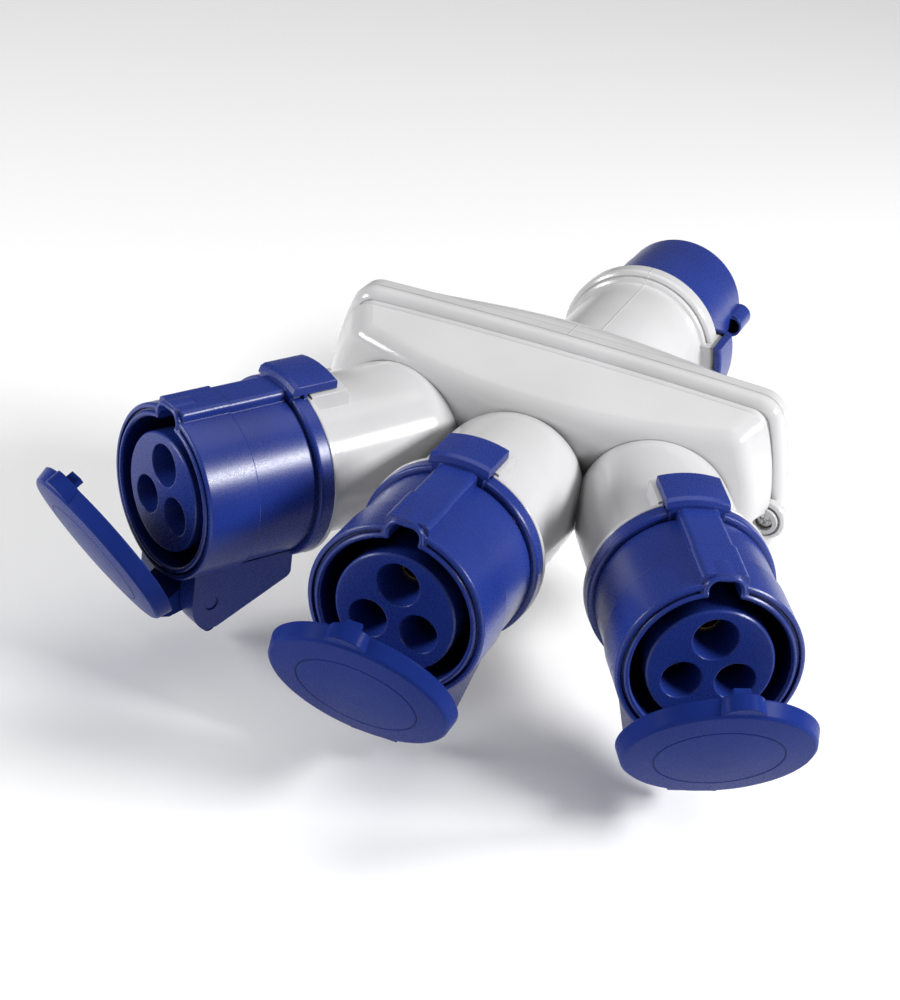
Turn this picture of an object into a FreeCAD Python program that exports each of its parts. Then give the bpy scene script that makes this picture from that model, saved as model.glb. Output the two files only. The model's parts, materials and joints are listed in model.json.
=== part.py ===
import FreeCAD, Part
import math
import os

# Three-way adaptor for 16 A 2P+E industrial connectors: one plug, three lidded sockets.
#
# Frame: origin at the centre of the plug shroud's mouth, +Y out of the mouth along the plug,
# +Z up. The sockets fan out towards -Y. Units are millimetres and degrees.
#
# Each socket is drawn in its own frame and then placed in the fan: x across, y = depth behind
# the rim plane, z up, with its axis along y. The body's shapes are drawn at their distance
# from the parting plane of the two shell halves.

V = FreeCAD.Vector
ORIGIN = V(0, 0, 0)
ACROSS = V(1, 0, 0)
ALONG = V(0, 1, 0)
UP = V(0, 0, 1)
FAR = 400.0  # longer than the whole adaptor, for cutting tools

# ---------------------------------------------------------------- clearances
SEAM_GAP = 0.05  # radial gap between pieces of one body that are pushed together
FACE_GAP = 0.05  # gap between faces that are clamped together
PARTING_GAP = 0.2  # open line between the two shell halves
RUN_GAP = 0.05  # radial gap of a hinge pin in the lid's lug
SLIDE_GAP = 0.03  # radial gap of a plug pin in a contact sleeve
MOVE_GAP = 0.3  # gap beside and around pieces that move

EDGE = 0.5  # broken edge of a moulding
QUARTER = math.sqrt(0.5)  # middle of a quarter round, as a share of its radius

# ---------------------------------------------------------------- fan of sockets
FAN_ANGLE = 30.0
PARTING_Y = -128.9  # parting plane of the two shell halves
FAN_CENTRE_BACK = 45.8  # fan centre behind the parting plane
FAN_CENTRE_Y = PARTING_Y + FAN_CENTRE_BACK
SIDES = {"left": -FAN_ANGLE, "middle": 0.0, "right": FAN_ANGLE}

# ---------------------------------------------------------------- standard connector sizes
PIN_CIRCLE_R = 8.6
LINE_PIN_R = 2.5
EARTH_PIN_R = 3.5
SHROUD_BORE_R = 18.3
SHROUD_R = 21.75
INSERT_R = SHROUD_BORE_R - 0.6
BORE_R = SHROUD_R + 0.35
KEYWAY_HALF_W = 4.4
KEYWAY_TOP = 26.6

# ---------------------------------------------------------------- socket housing
HOUSING_WALL = 3.9
HOUSING_R = BORE_R + HOUSING_WALL
HOUSING_REAR_R = HOUSING_R - 0.7
HOUSING_FRONT_L = 17.0
RING_GROOVE_W = 1.0
RING_GROOVE_DEPTH = 0.6
RING_R = HOUSING_R + 1.1
RING_W = 4.6
HOUSING_L = 41.6
LIP_R = BORE_R + 1.6  # outer edge of the rounded lip round the bore
LIP_ROUND = 0.5
RIM_STEP = 0.5  # the rim's outer edge stands this far behind the lip
RIM_GROOVE_W = 0.9
RIM_GROOVE_DEPTH = 0.8
BULGE_R = 6.6
BULGE_TOP = KEYWAY_TOP + 2.2
BULGE_L = 8.0
RIB_HALF_W = KEYWAY_HALF_W + 2.1
RIB_TOP = KEYWAY_TOP + 1.7
REAR_RIB_HALF_W = KEYWAY_HALF_W + 1.6
REAR_RIB_TOP = KEYWAY_TOP + 1.3
RIB_ROUND = 1.8
RIB_SETBACK = 1.0
BITE = 1.0  # how far a piece of a moulding starts inside what carries it
SEAT_R = BORE_R + 1.4
INSERT_FLANGE_W = 2.4
GASKET_W = 0.6
SPIGOT_L = 0.5  # how far the elbow reaches into the seat
# shoulder that the insert's flange seats on, with the gasket and the elbow behind it
SEAT_DEPTH = HOUSING_L - SPIGOT_L - GASKET_W - INSERT_FLANGE_W - 2 * FACE_GAP

# ---------------------------------------------------------------- latch
TAB_HALF_W = 9.0
TAB_R = RING_R + 3.9
CATCH_R = RING_R + 0.9
TAB_UNDER_R = CATCH_R + 0.4
TAB_FRONT = HOUSING_L - RING_W - 0.5
TAB_BACK = HOUSING_L + 10.4
TAB_ROUND = 2.0
TAB_NOTCH_W = 1.2
TAB_NOTCH_L = 4.0
TAB_NOTCH_TOP = RING_R - 0.1
CATCH_HALF_W = 10.0
CATCH_BACK = HOUSING_L + 14.4
CATCH_ROUND = 1.2

# ---------------------------------------------------------------- hinge
PIN_DEPTH = 10.8
PIN_Z = -HOUSING_R - 6.0
HINGE_PIN_R = 2.25
HINGE_PIN_SHORT = 0.4  # each end of the pin lies this deep in its ear
EAR_HALF_W = 14.5
LUG_HALF_W = 6.8
EAR_FRONT = 4.5
EAR_BOTTOM = PIN_Z - 9.0
EAR_NOSE = 2.3
EAR_FLAT_FRONT = 1.5  # the ears' lowest part runs from this far in front of the pin
EAR_FLAT_BACK = 2.5  # to this far behind it
EAR_RISE = 0.4
BLOCK_BACK = HOUSING_L - 3.6
BLOCK_BACK_Z = -HOUSING_REAR_R - 4.5
# rounded heel of the block: (in front of its back, above its lower edge)
BLOCK_HEEL = ((1.6, -0.4), (0.3, 0.7), (0.0, 2.4))
BARREL_R = 5.2
SLOT_TOP = PIN_Z + BARREL_R + MOVE_GAP
SLOT_ROOF_RISE = 1.65  # roof of the slot over the tail of the wide open lid
SLOT_OVERCUT = 5.0
SPRING_HALF_W = 3.1
SPRING_R = 4.5
SPRING_BORE_R = 2.6
SPRING_WIRE = 1.5

# ---------------------------------------------------------------- lid
LID_REST_ANGLE = 33.0  # how far the lids stand open
LID_EDGE_R = HOUSING_R
LID_INNER_R = HOUSING_R + 1.0
LID_TAPER = 0.12  # how far the lid's side leans out below its rounded edge
LID_ROUND = 0.6
LID_EDGE_BREAK = 0.4
LID_THICKNESS = 5.05
LID_CROWN = 1.5
LID_DISH = 3.0  # hollow of the lid's inner face
LID_MARK_R = 17.4
LID_MARK_DEPTH = 0.35
LID_MARK_HALF_W = 0.3
LID_FLAT_R = 5.6  # flat middle of the crown
LOBE_R = 6.35
LOBE_TOP = BULGE_TOP + 0.9
LOBE_SETBACK = 0.5  # the lobe stands this far behind the lid's face
LID_ROOT = 0.6  # what stands on the lid starts this far outside the seal
PEG_HALF_W = 2.3
PEG_L = 2.8
# the arm from the lid to the barrel
ARM_SETBACK = 0.7
ARM_DRAFT = 0.2
ARM_NOSE = 2.5
ARM_CHIN = 6.5
ARM_HEEL = 4.0
ARM_LOW = 3.0
TAIL_HALF_W = 5.0
TAIL_L = 18.0
TAIL_THICKNESS = 4.5
TAIL_FORWARD = 2.6
LID_SEAL_IN_R = 20.6
LID_SEAL_OUT_R = 24.2
LID_SEAL_W = 2.0
LID_SEAL_LIP = 1.0

# ---------------------------------------------------------------- contact insert
INSERT_SETBACK = 0.5
LINE_FUNNEL_R = 5.7
EARTH_FUNNEL_R = 6.4
SLEEVE_START = 12.0
SLEEVE_L = 33.0
SLEEVE_WALL = 1.4
SLEEVE_END_L = 8.0  # solid back end of a sleeve
THROAT_OVER = 0.7  # the insert's throat is this much wider than the plug pin

# ---------------------------------------------------------------- elbow
FLANGE_R = RING_R + 0.2
FLANGE_W = 1.5
ELBOW_R = HOUSING_R - 2.6
ELBOW_WALL = 2.5
ELBOW_COLLAR_L = 4.8
ELBOW_COLLAR_STEP = 0.3
ELBOW_L = 39.6  # from the housing's back to the centre of the rounded back end
ELBOW_STANDOFF = 39.4  # from that centre to the parting plane, on the middle socket
ELBOW_END_ANGLE = 60.0  # the ball shape runs this far round, to a flat
ELBOW_END_DEPTH = HOUSING_L + ELBOW_L
FAN_RADIUS = FAN_CENTRE_BACK + ELBOW_STANDOFF + ELBOW_END_DEPTH  # fan centre to a rim
PORT_R = 6.0
PORT_Z = 4.5  # the leads leave a little above the axis, clear of the shell's lower wall

# ---------------------------------------------------------------- body shell
# places along the body are distances from the parting plane, negative towards the sockets
BODY_HALF_W = 68.1
BODY_TOP = 34.7
BODY_BOTTOM = -20.0
TOP_BOW = 1.2
END_BOW = 7.1
ARCH = 9.0
TOP_CORNER_R = 8.6
BOTTOM_CORNER_R = 10.0
SHELL_WALL = 2.4
BEAD_L = 4.8
BEAD_FLAT = 0.2  # straight part of the bead beside the parting line
BEAD_R = BEAD_L - PARTING_GAP - BEAD_FLAT
RIM_RECESS = 2.0  # depth of the wide part of the front half's cavity
GROOVE_INSET = 3.3
DOME_START = 9.0
DOME_INSET = 2.5
DOME_END = 29.4
DOME_FACE_HALF_W = BODY_HALF_W - 12.1
DOME_FACE_TOP = BODY_TOP - 11.1
DOME_FACE_BOTTOM = BODY_BOTTOM + 19.0
DOME_FACE_ARCH = 4.0
DOME_FACE_R = 193.0
DOME_ROUND = 7.0
REAR_BAND_L = 4.3
REAR_STEP = 0.4
NECK_START = 34.0
# where the outline's corners meet the neck, in degrees from the horizontal
NECK_TOP_ANGLE = 40.0
NECK_SIDE_ANGLE = 25.0
NECK_LOW_ANGLE = 35.0
NECK_BOTTOM_ANGLE = 50.0
# sections of the rear half between its band and the neck: how far behind the parting plane,
# how far inside the body's outline at the ends, top and bottom, and their bows and corners
REAR_SECTIONS = (
    dict(at=13.0, ends=10.1, over=6.2, under=0.5, arch=6.0, bow=6.0, end_bow=7.0, corner=9.0),
    dict(at=24.0, ends=26.1, over=13.7, under=0.0, arch=-2.0, bow=6.0, end_bow=5.0, corner=11.0),
)

# ---------------------------------------------------------------- ears and screws
EAR_X = BODY_HALF_W + 3.9
EAR_Z = -1.0
EAR_R = 6.5
EAR_FACE = 10.4
EAR_RIM = 9.5
EAR_GROOVE = 8.9
EAR_L = 3.5
EAR_ROUND = 1.6
EAR_LAND_R = 4.1
EAR_BOSS_R = 4.2
POST_R = 5.0
POST_INSET = 0.5
SCREW_R = 1.6
SCREW_HOLE_R = 1.8
SCREW_HEAD_R = 2.5
SCREW_HEAD_H = 2.0
SLOT_W = 0.7
SLOT_L = 3.4
SLOT_DEPTH = 0.8
COUNTERBORE_R = 2.8
COUNTERBORE_L = 4.0
SCREW_BITE = 3.4  # how far a screw reaches into the rear half

# ---------------------------------------------------------------- gasket of the shell
GASKET_INSET = 0.9
GASKET_BAND = 1.0
GASKET_H = 1.4
EYELET_R = 2.7

# ---------------------------------------------------------------- plug
NECK_R = 23.4
NECK_BORE_R = NECK_R - 2.3
PLUG_INSERT_R = NECK_BORE_R - 1.3
PLUG_FLANGE_Y = -41.8
COLLAR_R = NECK_R + 3.4
COLLAR_L = 6.0
COLLAR_STEP_R = NECK_R + 1.5
COLLAR_STEP_L = 2.6
BLUE_RING_R = COLLAR_R - 1.4
BLUE_RING_L = 1.5
SHROUD_BASE_R = SHROUD_R + 0.35
SHROUD_STEP_Y = -11.5
CAVITY_Y = PLUG_FLANGE_Y + 3.8
PLUG_INSERT_L = 8.0
SHROUD_TAIL_Y = PLUG_FLANGE_Y - 6.2
PIN_TIP_SETBACK = 5.0
EARTH_TIP_SETBACK = 3.5
PIN_TAIL_L = 8.0
PIN_COLLAR_STEP = 1.8
PIN_COLLAR_L = 1.5
PIN_ROOT_STEP = 0.4  # a pin is this much thinner from the insert backwards
PIN_ROUND = 1.2
KEY_R = 4.0
KEY_CENTRE = SHROUD_R + 0.45
KEY_L = 12.0
KEY_BORE_R = 2.7
KEY_BORE_L = 8.0
PLUG_CATCH_HALF_W = 8.0
PLUG_CATCH_FRONT = PLUG_FLANGE_Y - 9.5
PLUG_CATCH_BACK = PLUG_FLANGE_Y + 2.8
PLUG_TAB_R = CATCH_R + 3.0
PLUG_TAB_END = PLUG_FLANGE_Y + 4.8
PLUG_TAB_START = PLUG_FLANGE_Y - 10.4
PLUG_TAB_UNDER_R = CATCH_R + 0.6
SEAL_W = 0.9
SEAL_R = NECK_R + 0.5

# ---------------------------------------------------------------- conductors
BAR_HALF_L = 38.0
BAR_H = 6.0
BAR_T = 1.6
LEAD_R = 1.3
EARTH_BAR = (4.0, 14.0)  # behind the parting plane, height
LINE_BAR = (8.0, 4.0)
NEUTRAL_BAR = (12.0, -6.0)
LEAD_SPACING = 3.5
LEAD_STRAIGHT = 4.0  # a lead leaves its sleeve or pin straight for this far
LEAD_BITE = 5.0  # how deep a lead's hole goes into a sleeve
PIN_LEAD_BITE = 4.0  # the same in the tail of a plug pin


# ---------------------------------------------------------------- drawing helpers
def wire(start, steps, place):
    """Closed wire from 2-D steps: a point is a straight run, a (through, end) pair is an arc."""
    edges = []
    here = start
    for step in list(steps) + [start]:
        if isinstance(step[0], tuple):
            through, end = step
            edges.append(Part.Arc(place(here), place(through), place(end)).toShape())
        else:
            end = step
            if place(here).distanceToPoint(place(end)) > 1e-6:
                edges.append(Part.LineSegment(place(here), place(end)).toShape())
        here = end
    return Part.Wire(edges)


def turned(start, steps):
    """Solid of revolution about the socket or plug axis, from a (depth, radius) profile."""
    section = Part.Face(wire(start, steps, lambda p: V(0, p[0], p[1])))
    return section.revolve(ORIGIN, ALONG, 360)


def slab(start, steps, half_width):
    """Side profile in (depth, height), as thick as the given half width each way."""
    section = Part.Face(wire(start, steps, lambda p: V(-half_width, p[0], p[1])))
    return section.extrude(V(2 * half_width, 0, 0))


def rod(radius, y0, y1, x=0.0, z=0.0):
    """Cylinder along the depth direction."""
    return Part.makeCylinder(radius, y1 - y0, V(x, y0, z), ALONG)


def cross_rod(radius, half_width, y, z):
    """Cylinder across the socket, centred on its middle plane."""
    return Part.makeCylinder(radius, 2 * half_width, V(-half_width, y, z), ACROSS)


def block(x0, x1, y0, y1, z0, z1):
    return Part.makeBox(x1 - x0, y1 - y0, z1 - z0, V(x0, y0, z0))


def joined(first, *others):
    shape = first
    for other in others:
        shape = shape.fuse(other)
    return shape.removeSplitter()


def cut(shape, *tools):
    for tool in tools:
        shape = shape.cut(tool)
    return shape


def in_fan(shape, yaw):
    """Takes a shape from its socket's frame to its place in the fan."""
    placed = shape.copy()
    placed.translate(V(0, FAN_CENTRE_Y - FAN_RADIUS, 0))
    placed.rotate(V(0, FAN_CENTRE_Y, 0), UP, yaw)
    return placed


def polar(radius, degrees):
    return radius * math.cos(math.radians(degrees)), radius * math.sin(math.radians(degrees))


def polar_depth(radius, degrees):
    """(depth, distance from the axis) of a point on a ball, from its equator backwards."""
    return radius * math.sin(math.radians(degrees)), radius * math.cos(math.radians(degrees))


def contact_places(turn):
    """(name, pin radius, x, z) of the earth, line and neutral contacts."""
    places = []
    for name, pin_r, degrees in (
        ("earth", EARTH_PIN_R, 90.0),
        ("line", LINE_PIN_R, 210.0),
        ("neutral", LINE_PIN_R, 330.0),
    ):
        x, z = polar(PIN_CIRCLE_R, degrees + turn)
        places.append((name, pin_r, x, z))
    return places


SOCKET_CONTACTS = contact_places(0.0)
PLUG_CONTACTS = contact_places(-90.0)


# ---------------------------------------------------------------- socket housing
def housing_tube():
    """Stepped tube with a lipped rim and a ring at the back, not yet bored."""
    ring_start = HOUSING_L - RING_W
    groove_r = HOUSING_REAR_R - RING_GROOVE_DEPTH
    rim_back = RIM_STEP + RIM_GROOVE_DEPTH
    return turned(
        (RIM_STEP, BORE_R),
        [
            (0.0, BORE_R + LIP_ROUND),
            (0.0, LIP_R - LIP_ROUND),
            (RIM_STEP, LIP_R),
            (rim_back, LIP_R),
            (rim_back, LIP_R + RIM_GROOVE_W - 0.2),
            (RIM_STEP, LIP_R + RIM_GROOVE_W),
            (RIM_STEP, HOUSING_R - EDGE),
            (RIM_STEP + EDGE, HOUSING_R),
            (HOUSING_FRONT_L, HOUSING_R),
            (HOUSING_FRONT_L, HOUSING_REAR_R),
            (ring_start - RING_GROOVE_W, HOUSING_REAR_R),
            (ring_start - RING_GROOVE_W, groove_r),
            (ring_start, groove_r),
            (ring_start, RING_R - 2 * EDGE),
            (ring_start + EDGE / 2, RING_R - EDGE / 2),
            (ring_start + 2 * EDGE, RING_R),
            (HOUSING_L, RING_R),
            (HOUSING_L, SEAT_R),
            (SEAT_DEPTH, SEAT_R),
            (SEAT_DEPTH, BORE_R),
        ],
    )


def top_rib(half_width, top, y0, y1):
    """Raised rib on the housing's crown with rounded shoulders."""
    round_r = RIB_ROUND
    low = BORE_R - BITE
    corner = round_r * (1 - QUARTER)
    section = wire(
        (-half_width, low),
        [
            (-half_width, top - round_r),
            ((-half_width + corner, top - corner), (-half_width + round_r, top)),
            (half_width - round_r, top),
            ((half_width - corner, top - corner), (half_width, top - round_r)),
            (half_width, low),
        ],
        lambda p: V(p[0], y0, p[1]),
    )
    return Part.Face(section).extrude(V(0, y1 - y0, 0))


def arched_block(start, steps, half_width):
    """Part of a turned ring that stands on top of the tube, square across."""
    ring = turned(start, steps)
    return ring.common(block(-half_width, half_width, 0, FAR, 0, FAR))


def latch_tab():
    """Blue tab on the ring that reaches back over the elbow's catch."""
    corner = TAB_ROUND * (1 - QUARTER)
    tab = arched_block(
        (TAB_FRONT, HOUSING_REAR_R - BITE),
        [
            (TAB_FRONT, TAB_R - TAB_ROUND),
            (TAB_FRONT + corner, TAB_R - corner),
            (TAB_FRONT + TAB_ROUND, TAB_R),
            (TAB_BACK - EDGE, TAB_R),
            (TAB_BACK, TAB_R - EDGE),
            (TAB_BACK, TAB_UNDER_R),
            (HOUSING_L, TAB_UNDER_R),
            (HOUSING_L, HOUSING_REAR_R - BITE),
        ],
        TAB_HALF_W,
    )
    # the sides are cut away low down in front, where the tab meets the ring
    for side in (-1, 1):
        x0, x1 = sorted((side * (TAB_HALF_W - TAB_NOTCH_W), side * (TAB_HALF_W + BITE)))
        notch = block(x0, x1, TAB_FRONT - BITE, TAB_FRONT + TAB_NOTCH_L, 0.0, TAB_NOTCH_TOP)
        tab = tab.cut(notch)
    return tab


def hinge_block():
    """Block under the housing that holds the hinge pin."""
    top = -BORE_R + BITE
    heel = [(BLOCK_BACK - ahead, BLOCK_BACK_Z + above) for ahead, above in BLOCK_HEEL]
    return slab(
        (EAR_FRONT, top),
        [
            (EAR_FRONT, PIN_Z),
            (
                (EAR_FRONT + EAR_NOSE, EAR_BOTTOM + EAR_NOSE),
                (PIN_DEPTH - EAR_FLAT_FRONT, EAR_BOTTOM),
            ),
            (PIN_DEPTH + EAR_FLAT_BACK, EAR_BOTTOM + EAR_RISE),
            heel[0],
            (heel[1], heel[2]),
            (BLOCK_BACK, top),
        ],
        EAR_HALF_W,
    )


def hinge_slot():
    """Room between the ears for the lug, and behind it for the tail of the open lid."""
    tail_room = math.hypot(TAIL_L, TAIL_FORWARD + TAIL_THICKNESS / 2) + MOVE_GAP
    # the tail of the wide open lid lies this far under the pin, and stops against the roof
    roof = PIN_Z - TAIL_FORWARD + TAIL_THICKNESS / 2 + SLOT_ROOF_RISE
    low = EAR_BOTTOM - SLOT_OVERCUT
    return slab(
        (-SLOT_OVERCUT, SLOT_TOP),
        [
            (PIN_DEPTH + BARREL_R + MOVE_GAP, SLOT_TOP),
            (PIN_DEPTH + BARREL_R + MOVE_GAP, roof),
            (PIN_DEPTH + tail_room, roof),
            (PIN_DEPTH + tail_room, low),
            (-SLOT_OVERCUT, low),
        ],
        LUG_HALF_W + MOVE_GAP,
    )


def socket_housing():
    centre_z = BULGE_TOP - BULGE_R
    shape = joined(
        housing_tube(),
        rod(BULGE_R, RIM_STEP, BULGE_L, z=centre_z),
        top_rib(RIB_HALF_W, RIB_TOP, RIM_STEP + RIB_SETBACK, HOUSING_FRONT_L),
        top_rib(REAR_RIB_HALF_W, REAR_RIB_TOP, HOUSING_FRONT_L - BITE, HOUSING_L - BITE),
        latch_tab(),
        hinge_block(),
    )
    ear_bore = cross_rod(HINGE_PIN_R + SLIDE_GAP, EAR_HALF_W + BITE, PIN_DEPTH, PIN_Z)
    keyway = block(-KEYWAY_HALF_W, KEYWAY_HALF_W, -BITE, SEAT_DEPTH + BITE, 0.0, KEYWAY_TOP)
    bore = rod(BORE_R, -BITE, SEAT_DEPTH + BITE)
    seat = rod(SEAT_R, SEAT_DEPTH, HOUSING_L + BITE)
    return cut(shape, bore, seat, keyway, hinge_slot(), ear_bore)


# ---------------------------------------------------------------- contact insert
def socket_insert():
    """Round insert with three funnelled contact holes and a flange at its back."""
    flange_start = SEAT_DEPTH + FACE_GAP
    back = flange_start + INSERT_FLANGE_W
    shape = turned(
        (INSERT_SETBACK, 0.0),
        [
            (INSERT_SETBACK, INSERT_R - EDGE),
            (INSERT_SETBACK + EDGE, INSERT_R),
            (flange_start, INSERT_R),
            (flange_start, SEAT_R - SEAM_GAP),
            (back, SEAT_R - SEAM_GAP),
            (back, 0.0),
        ],
    )
    for name, pin_r, x, z in SOCKET_CONTACTS:
        mouth_r = EARTH_FUNNEL_R if name == "earth" else LINE_FUNNEL_R
        throat_r = pin_r + THROAT_OVER
        depth = SLEEVE_START - INSERT_SETBACK
        funnel = Part.makeCone(mouth_r, throat_r, depth, V(x, INSERT_SETBACK, z), ALONG)
        seat = rod(pin_r + SLEEVE_WALL + SEAM_GAP, SLEEVE_START, back + BITE, x, z)
        shape = cut(shape, funnel, seat)
    return shape


def contact_sleeves():
    """Three brass sleeves, bored for the plug's pins and for the leads."""
    sleeves = []
    end = SLEEVE_START + SLEEVE_L
    for name, pin_r, x, z in SOCKET_CONTACTS:
        outer = rod(pin_r + SLEEVE_WALL, SLEEVE_START + FACE_GAP, end, x, z)
        bore = rod(pin_r + SLIDE_GAP, SLEEVE_START - BITE, end - SLEEVE_END_L, x, z)
        lead_hole = rod(LEAD_R + SEAM_GAP, end - LEAD_BITE, end + BITE, x, z)
        sleeves.append(cut(outer, bore, lead_hole))
    return Part.makeCompound(sleeves)


def socket_gasket():
    front = SEAT_DEPTH + FACE_GAP + INSERT_FLANGE_W + FACE_GAP
    ring = rod(SEAT_R - SEAM_GAP, front, front + GASKET_W)
    return ring.cut(rod(ELBOW_R - ELBOW_WALL, front - BITE, front + GASKET_W + BITE))


# ---------------------------------------------------------------- elbow
def elbow_envelope(extra):
    """Outer form of the elbow: a straight tube with a ball-shaped back, flat at its end."""
    radius = ELBOW_R + extra
    start = HOUSING_L + FACE_GAP
    mid_back, mid_r = polar_depth(radius, ELBOW_END_ANGLE / 2)
    end_back, end_r = polar_depth(radius, ELBOW_END_ANGLE)
    return turned(
        (start, 0.0),
        [
            (start, radius),
            (ELBOW_END_DEPTH, radius),
            ((ELBOW_END_DEPTH + mid_back, mid_r), (ELBOW_END_DEPTH + end_back, end_r)),
            (ELBOW_END_DEPTH + end_back, 0.0),
        ],
    )


def inside_bisector(yaw, side):
    """Everything on this elbow's side of the plane halfway to the next one (+1 or -1)."""
    if side > 0:
        tool = block(-FAR, -SEAM_GAP, -FAR, FAR, -FAR, FAR)
    else:
        tool = block(SEAM_GAP, FAR, -FAR, FAR, -FAR, FAR)
    tool.translate(V(0, FAN_CENTRE_Y, 0))
    tool.rotate(V(0, FAN_CENTRE_Y, 0), UP, yaw + side * FAN_ANGLE / 2)
    return tool


def elbow(yaw):
    """Grey tube behind a socket, with its flange, collar, catch and wiring port."""
    front = SEAT_DEPTH + 2 * FACE_GAP + INSERT_FLANGE_W + GASKET_W + FACE_GAP
    flange = HOUSING_L + FACE_GAP
    flange_back = flange + FLANGE_W
    collar_end = flange_back + ELBOW_COLLAR_L
    inner_r = ELBOW_R - ELBOW_WALL
    mid_back, mid_r = polar_depth(ELBOW_R, ELBOW_END_ANGLE / 2)
    end_back, end_r = polar_depth(ELBOW_R, ELBOW_END_ANGLE)
    in_back, in_r = polar_depth(inner_r, ELBOW_END_ANGLE)
    shape = turned(
        (front, inner_r),
        [
            (front, SEAT_R - SEAM_GAP),
            (flange, SEAT_R - SEAM_GAP),
            (flange, FLANGE_R - EDGE / 2),
            (flange + EDGE / 2, FLANGE_R),
            (flange_back - EDGE / 2, FLANGE_R),
            (flange_back, FLANGE_R - EDGE / 2),
            (flange_back, ELBOW_R + ELBOW_COLLAR_STEP),
            (collar_end, ELBOW_R + ELBOW_COLLAR_STEP),
            (collar_end, ELBOW_R),
            (ELBOW_END_DEPTH, ELBOW_R),
            (
                (ELBOW_END_DEPTH + mid_back, mid_r),
                (ELBOW_END_DEPTH + end_back, end_r),
            ),
            (ELBOW_END_DEPTH + end_back, 0.0),
            (ELBOW_END_DEPTH + in_back, 0.0),
            (ELBOW_END_DEPTH + in_back, in_r),
            (ELBOW_END_DEPTH, inner_r),
        ],
    )
    port = rod(PORT_R, ELBOW_END_DEPTH, ELBOW_END_DEPTH + ELBOW_R, z=PORT_Z)
    catch = arched_block(
        (flange_back - EDGE, inner_r + BITE),
        [
            (flange_back - EDGE, CATCH_R),
            (CATCH_BACK - CATCH_ROUND, CATCH_R),
            (CATCH_BACK, CATCH_R - CATCH_ROUND),
            (CATCH_BACK, inner_r + BITE),
        ],
        CATCH_HALF_W,
    )
    placed = in_fan(joined(shape, catch).cut(port), yaw)
    if yaw < FAN_ANGLE:
        placed = placed.common(inside_bisector(yaw, +1))
    if yaw > -FAN_ANGLE:
        placed = placed.common(inside_bisector(yaw, -1))
    return placed


# ---------------------------------------------------------------- lid
def lid_disc():
    """Dished lid with a crowned, ring-marked face, drawn closed in front of the rim."""
    inner = -MOVE_GAP
    outer = inner - LID_THICKNESS

    ball_r = (LID_EDGE_R**2 + LID_CROWN**2) / (2 * LID_CROWN)

    def crown(r):
        return outer - LID_CROWN + ball_r - math.sqrt(ball_r**2 - r**2)

    groove_back = inner - LID_SEAL_W - FACE_GAP
    in_r = LID_SEAL_IN_R - SEAM_GAP
    out_r = LID_SEAL_OUT_R + SEAM_GAP
    wall_r = in_r - LID_SEAL_LIP
    edge_mid = (LID_EDGE_R + LID_MARK_R) / 2
    mark_out = LID_MARK_R + LID_MARK_HALF_W
    mark_in = LID_MARK_R - LID_MARK_HALF_W
    return turned(
        (inner - LID_DISH, 0.0),
        [
            (inner - LID_DISH, wall_r),
            (inner, wall_r),
            (inner, in_r),
            (groove_back, in_r),
            (groove_back, out_r),
            (inner, out_r),
            (inner, LID_INNER_R - LID_EDGE_BREAK),
            (inner - LID_EDGE_BREAK, LID_INNER_R),
            (outer + LID_ROUND, LID_EDGE_R + LID_TAPER),
            (crown(LID_EDGE_R - LID_ROUND), LID_EDGE_R - LID_ROUND),
            ((crown(edge_mid), edge_mid), (crown(mark_out), mark_out)),
            (crown(LID_MARK_R) + LID_MARK_DEPTH, LID_MARK_R),
            (crown(mark_in), mark_in),
            (crown(2 * LID_FLAT_R), 2 * LID_FLAT_R),
            (crown(LID_FLAT_R), LID_FLAT_R),
            (crown(LID_FLAT_R), 0.0),
        ],
    )


def lid_lug():
    """Arm from the lid to the hinge pin, its barrel, and the tail below the pin."""
    inner = -MOVE_GAP
    outer = inner - LID_THICKNESS
    top = SLOT_TOP - MOVE_GAP / 2
    root = -LID_SEAL_OUT_R - LID_ROOT
    arm = slab(
        (PIN_DEPTH, PIN_Z + BARREL_R - FACE_GAP),
        [
            (inner, top),
            (inner, root),
            (outer + ARM_SETBACK, root),
            (outer + 2 * ARM_SETBACK - ARM_DRAFT, -LID_EDGE_R - ARM_NOSE),
            (inner, -LID_EDGE_R - ARM_CHIN),
            (PIN_DEPTH - ARM_HEEL, PIN_Z - ARM_LOW),
            (PIN_DEPTH, PIN_Z - ARM_LOW),
        ],
        LUG_HALF_W,
    )
    back = PIN_DEPTH - TAIL_FORWARD + TAIL_THICKNESS / 2
    front = back - TAIL_THICKNESS
    tip = PIN_Z - TAIL_L
    tail = slab(
        (back, PIN_Z),
        [
            (back, tip + TAIL_THICKNESS / 2),
            (((front + back) / 2, tip), (front, tip + TAIL_THICKNESS / 2)),
            (front, PIN_Z),
        ],
        TAIL_HALF_W,
    )
    barrel = cross_rod(BARREL_R, LUG_HALF_W, PIN_DEPTH, PIN_Z)
    shape = joined(arm, tail, barrel)
    spring_room = cross_rod(BARREL_R + 0.6, SPRING_HALF_W + MOVE_GAP, PIN_DEPTH, PIN_Z)
    bore = cross_rod(HINGE_PIN_R + RUN_GAP, EAR_HALF_W, PIN_DEPTH, PIN_Z)
    return cut(shape, spring_room, bore)


def opened(shape):
    """Swings a piece drawn on the closed lid to the lid's resting angle."""
    turned_shape = shape.copy()
    turned_shape.rotate(V(0, PIN_DEPTH, PIN_Z), ACROSS, LID_REST_ANGLE)
    return turned_shape


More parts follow.
